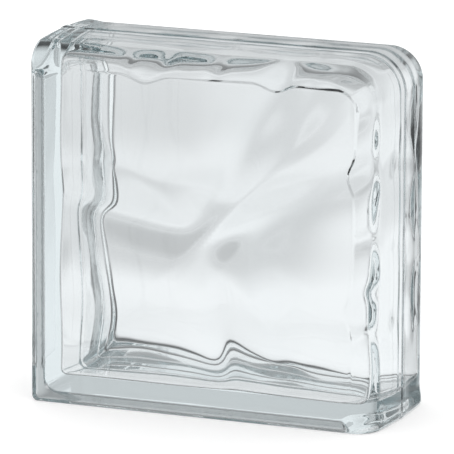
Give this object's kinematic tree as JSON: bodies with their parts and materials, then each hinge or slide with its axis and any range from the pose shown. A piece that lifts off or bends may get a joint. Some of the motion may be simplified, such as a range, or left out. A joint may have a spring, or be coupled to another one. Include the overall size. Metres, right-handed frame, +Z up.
{
  "type": "glass block",
  "caption": "Square hollow glass block with wavy inner faces, mortar channels on two sides and rounded finished glass on the other two.",
  "frame": {"origin": "middle of the base, under the centre of the bounding box", "axes": "+X across the width towards the finished right-hand side, +Y from the front face to the back face, +Z up towards the finished top"},
  "size_m": [0.19, 0.08, 0.19],
  "materials": {
    "clear_glass": "clear pressed glass, fire-polished, with a faint cool tint in its thickness"
  },
  "bodies": {
    "root": {"front_half": "clear_glass", "back_half": "clear_glass"}
  },
  "joints": []
}
